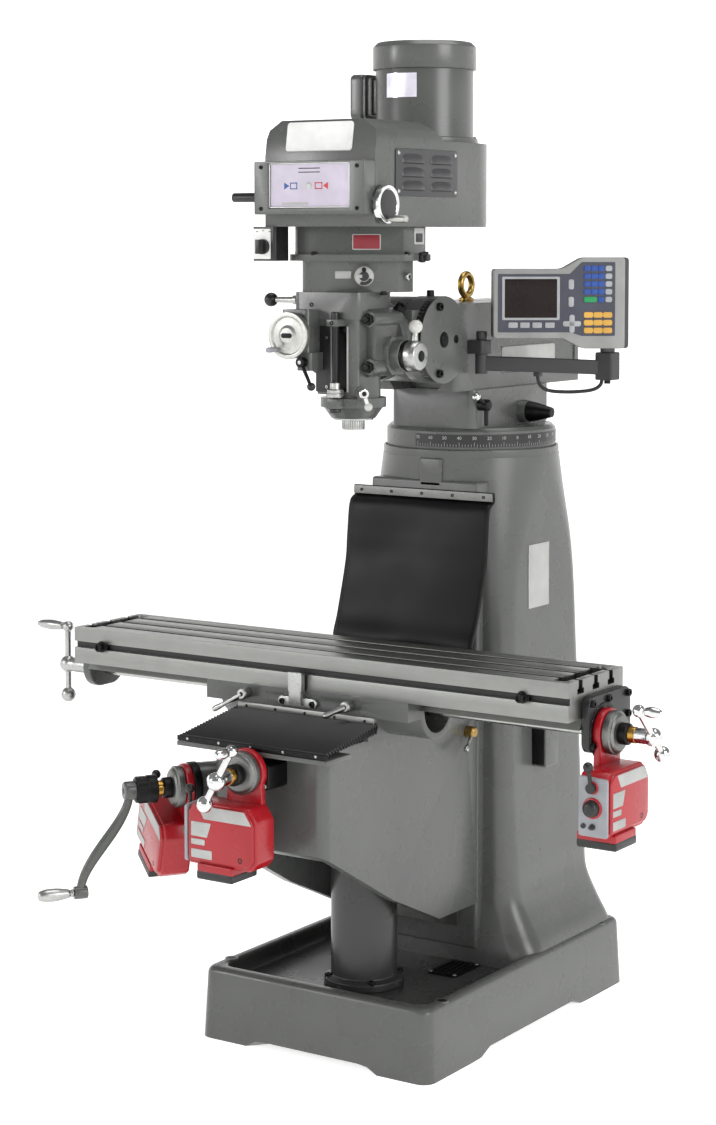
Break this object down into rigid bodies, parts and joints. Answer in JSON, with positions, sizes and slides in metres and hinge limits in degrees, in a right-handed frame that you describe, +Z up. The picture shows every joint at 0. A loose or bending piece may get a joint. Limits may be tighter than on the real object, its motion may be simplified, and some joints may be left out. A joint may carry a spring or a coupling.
{
  "type": "knee and column milling machine",
  "caption": "Turret milling machine on a cast column: sliding knee, saddle and T-slot table with power feeds, ram, tilting head with quill, and a digital readout on an arm.",
  "frame": {"origin": "centre of the base's underside, on the floor", "axes": "+X right along the table, -Y towards the operator, +Z up"},
  "size_m": [1.627, 1.3746, 2.16],
  "materials": {
    "grey_paint": "satin machine enamel on castings",
    "red_paint": "gloss red enamel",
    "black_metal": "satin black",
    "steel": "ground and turned bright steel",
    "chrome": "polished and plated",
    "aluminium": "turned bright",
    "brass": "turned brass and yellow zinc plate",
    "rubber": "matt black sheet rubber",
    "black_plastic": "moulded, glossy black",
    "grey_plastic": "moulded light grey"
  },
  "bodies": {
    "frame": {"column": "grey_paint", "screw_pedestal": "grey_paint", "guard_strip": "steel", "chip_guard": "rubber"},
    "turret": {"turret": "grey_paint"},
    "ram_lock": {"ram_lock_lever": "chrome"},
    "ram_pinion": {"ram_pinion": "black_metal"},
    "ram": {"ram": "grey_paint", "eyebolt": "brass", "dro_bracket": "black_metal"},
    "readout_arm": {"dro_arm": "black_metal", "dro_cable": "rubber"},
    "readout": {"dro_housing": "grey_plastic"},
    "adapter": {"ram_adapter": "grey_paint"},
    "head": {"quill_head": "grey_paint", "gear_case": "grey_paint", "belt_housing": "grey_paint", "speed_cover": "grey_paint", "vent_panel": "black_metal", "motor": "grey_paint", "fan_cowl": "grey_paint", "terminal_box": "grey_paint", "switch_box": "grey_plastic", "depth_stop_screw": "steel", "drive_belt": "rubber"},
    "quill": {"quill": "steel"},
    "spindle": {"spindle": "steel"},
    "spindle_pulley": {"spindle_pulley": "black_metal"},
    "motor_pulley": {"motor_pulley": "black_metal"},
    "quill_feed_lever": {"quill_feed_lever": "chrome"},
    "fine_feed_wheel": {"fine_feed_wheel": "black_plastic"},
    "speed_handwheel": {"speed_handwheel": "aluminium"},
    "range_lever": {"range_lever": "aluminium"},
    "brake_lever": {"brake_lever": "black_plastic"},
    "feed_engage_knob": {"feed_engage_knob": "black_plastic"},
    "feed_trip_lever": {"feed_trip_lever": "black_plastic"},
    "quill_lock_lever": {"quill_lock_lever": "chrome"},
    "stop_nut": {"stop_nut": "aluminium"},
    "switch_knob": {"switch_knob": "black_plastic"},
    "knee": {"knee": "grey_paint", "z_feed_unit": "red_paint", "y_feed_unit": "red_paint", "bellows": "rubber"},
    "elevating_screw": {"elevating_screw": "steel"},
    "knee_crank": {"knee_crank": "chrome"},
    "knee_lock_lever": {"knee_lock_lever": "brass"},
    "z_feed_lever": {"z_feed_lever": "black_plastic"},
    "y_feed_lever": {"y_feed_lever": "black_plastic"},
    "cross_crank": {"cross_crank": "chrome"},
    "saddle": {"saddle": "grey_paint", "stop_bracket": "steel"},
    "table_lock_left": {"table_lock_left": "chrome"},
    "table_lock_right": {"table_lock_right": "chrome"},
    "table": {"table": "steel", "end_brackets": "black_metal", "x_feed_unit": "red_paint"},
    "table_screw": {"table_screw": "chrome"},
    "x_feed_lever": {"x_feed_lever": "black_plastic"},
    "stop_dog_left": {"stop_dog_left": "steel"},
    "stop_dog_right": {"stop_dog_right": "steel"}
  },
  "joints": [
    {"name": "turret_swivel", "type": "hinge", "parent": "frame", "child": "turret", "pos_m": [0, 0.219, 1.245], "axis": [0, 0, 1], "range_deg": [-180, 180]},
    {"name": "ram_lock", "type": "hinge", "parent": "turret", "child": "ram_lock", "pos_m": [0.11, 0.07, 1.363], "axis": [1, 0, 0], "range_deg": [-40, 40]},
    {"name": "ram_slide", "type": "slide", "parent": "turret", "child": "ram", "axis": [0, -1, 0], "range_m": [-0.12, 0.185]},
    {"name": "ram_pinion_turn", "type": "hinge", "parent": "turret", "child": "ram_pinion", "pos_m": [0.13, 0.26, 1.338], "axis": [1, 0, 0], "continuous": true},
    {"name": "readout_arm_swing", "type": "hinge", "parent": "ram", "child": "readout_arm", "pos_m": [0.13, 0.045, 1.448], "axis": [0, 0, -1], "range_deg": [-25, 30]},
    {"name": "readout_turn", "type": "hinge", "parent": "readout_arm", "child": "readout", "pos_m": [0.362, 0.197, 1.482], "axis": [0, 0, 1], "range_deg": [-5, 60]},
    {"name": "head_nod", "type": "hinge", "parent": "ram", "child": "adapter", "pos_m": [0, -0.072, 1.512], "axis": [-1, 0, 0], "range_deg": [-42, 28]},
    {"name": "head_swivel", "type": "hinge", "parent": "adapter", "child": "head", "pos_m": [0, -0.19, 1.512], "axis": [0, 1, 0], "range_deg": [-90, 25]},
    {"name": "quill_feed", "type": "slide", "parent": "head", "child": "quill", "axis": [0, 0, 1], "range_m": [-0.127, 0], "stiffness_N_per_m": 250, "springref_m": 1},
    {"name": "spindle_spin", "type": "hinge", "parent": "quill", "child": "spindle", "pos_m": [0, -0.269, 1.4], "axis": [0, 0, 1], "continuous": true},
    {"name": "spindle_pulley_spin", "type": "hinge", "parent": "head", "child": "spindle_pulley", "pos_m": [0, -0.269, 1.83], "axis": [0, 0, 1], "continuous": true},
    {"name": "motor_pulley_spin", "type": "hinge", "parent": "head", "child": "motor_pulley", "pos_m": [0, 0.014, 1.83], "axis": [0, 0, 1], "continuous": true},
    {"name": "quill_feed_turn", "type": "hinge", "parent": "head", "child": "quill_feed_lever", "pos_m": [0.088, -0.232, 1.484], "axis": [1, 0, 0], "continuous": true},
    {"name": "fine_feed_turn", "type": "hinge", "parent": "head", "child": "fine_feed_wheel", "pos_m": [-0.078, -0.378, 1.528], "axis": [0, -1, 0], "continuous": true},
    {"name": "speed_turn", "type": "hinge", "parent": "head", "child": "speed_handwheel", "pos_m": [0.138, -0.374, 1.801], "axis": [1, 0, 0], "continuous": true},
    {"name": "range_turn", "type": "hinge", "parent": "head", "child": "range_lever", "pos_m": [0.0402, -0.28856, 1.652], "axis": [0.5517, -0.834, 0], "range_deg": [-45, 45]},
    {"name": "brake_swing", "type": "hinge", "parent": "head", "child": "brake_lever", "pos_m": [-0.15, -0.367, 1.818], "axis": [0, 0, 1], "range_deg": [-15, 15]},
    {"name": "feed_engage_pull", "type": "slide", "parent": "head", "child": "feed_engage_knob", "axis": [-1, 0, 0], "range_m": [0, 0.014]},
    {"name": "feed_trip_swing", "type": "hinge", "parent": "head", "child": "feed_trip_lever", "pos_m": [-0.053, -0.378, 1.472], "axis": [0, -1, 0], "range_deg": [-30, 25]},
    {"name": "quill_lock_turn", "type": "hinge", "parent": "head", "child": "quill_lock_lever", "pos_m": [0.0633, -0.33013, 1.408], "axis": [0.7193, -0.6947, 0], "range_deg": [-40, 40]},
    {"name": "stop_nut_run", "type": "slide", "parent": "head", "child": "stop_nut", "axis": [0, 0, 1], "range_m": [0, 0.1]},
    {"name": "switch_turn", "type": "hinge", "parent": "head", "child": "switch_knob", "pos_m": [-0.1395, -0.4, 1.714], "axis": [0, -1, 0], "range_deg": [-60, 60]},
    {"name": "knee_crank_turn", "type": "hinge", "parent": "knee", "child": "knee_crank", "pos_m": [-0.24377, -0.57514, 0.582], "axis": [-0.5736, -0.8192, 0], "continuous": true},
    {"name": "knee_lift", "type": "slide", "parent": "frame", "child": "knee", "axis": [0, 0, 1], "range_m": [0, 0.406], "deforming": ["chip_guard"]},
    {"name": "elevating_screw_turn", "type": "hinge", "parent": "knee", "child": "elevating_screw", "pos_m": [0, -0.227, 0.5], "axis": [0, 0, 1], "continuous": true},
    {"name": "knee_lock_turn", "type": "hinge", "parent": "knee", "child": "knee_lock_lever", "pos_m": [0.141, -0.03, 0.65], "axis": [1, 0, 0], "range_deg": [-35, 35]},
    {"name": "z_feed_select", "type": "hinge", "parent": "knee", "child": "z_feed_lever", "pos_m": [-0.35923, -0.50406, 0.53761], "axis": [-0.7698, 0.539, 0.342], "range_deg": [-25, 25]},
    {"name": "y_feed_select", "type": "hinge", "parent": "knee", "child": "y_feed_lever", "pos_m": [-0.112, -0.687, 0.572], "axis": [-1, 0, 0], "range_deg": [-25, 25]},
    {"name": "cross_crank_turn", "type": "hinge", "parent": "knee", "child": "cross_crank", "pos_m": [0, -0.679, 0.66], "axis": [0, -1, 0], "continuous": true},
    {"name": "saddle_cross", "type": "slide", "parent": "knee", "child": "saddle", "axis": [0, 1, 0], "range_m": [-0.165, 0.13], "deforming": ["bellows"]},
    {"name": "table_lock_left_turn", "type": "hinge", "parent": "saddle", "child": "table_lock_left", "pos_m": [-0.147, -0.452, 0.773], "axis": [0, 1, 0], "range_deg": [-4, 45]},
    {"name": "table_lock_right_turn", "type": "hinge", "parent": "saddle", "child": "table_lock_right", "pos_m": [0.115, -0.452, 0.773], "axis": [0, 1, 0], "range_deg": [-4, 45]},
    {"name": "table_screw_turn", "type": "hinge", "parent": "table", "child": "table_screw", "pos_m": [0.668, -0.3375, 0.76], "axis": [1, 0, 0], "continuous": true},
    {"name": "table_travel", "type": "slide", "parent": "saddle", "child": "table", "axis": [1, 0, 0], "range_m": [-0.36, 0.36]},
    {"name": "x_feed_select", "type": "hinge", "parent": "table", "child": "x_feed_lever", "pos_m": [0.676, -0.4495, 0.672], "axis": [0, -1, 0], "range_deg": [-25, 25]},
    {"name": "stop_dog_left_run", "type": "slide", "parent": "table", "child": "stop_dog_left", "axis": [1, 0, 0], "range_m": [-0.04, 0.12]},
    {"name": "stop_dog_right_run", "type": "slide", "parent": "table", "child": "stop_dog_right", "axis": [1, 0, 0], "range_m": [-0.12, 0.05]}
  ],
  "couplings": [
    {"joint": "ram_pinion_turn", "follows": "ram_slide", "rad_per_m": 40},
    {"joint": "spindle_pulley_spin", "follows": "spindle_spin", "ratio": 1},
    {"joint": "motor_pulley_spin", "follows": "spindle_spin", "ratio": 1},
    {"joint": "quill_feed_turn", "follows": "quill_feed", "rad_per_m": -50},
    {"joint": "knee_crank_turn", "follows": "knee_lift", "rad_per_m": 2473.7},
    {"joint": "elevating_screw_turn", "follows": "knee_lift", "rad_per_m": -2473.7},
    {"joint": "cross_crank_turn", "follows": "saddle_cross", "rad_per_m": 1236.8},
    {"joint": "table_screw_turn", "follows": "table_travel", "rad_per_m": 1236.8}
  ]
}
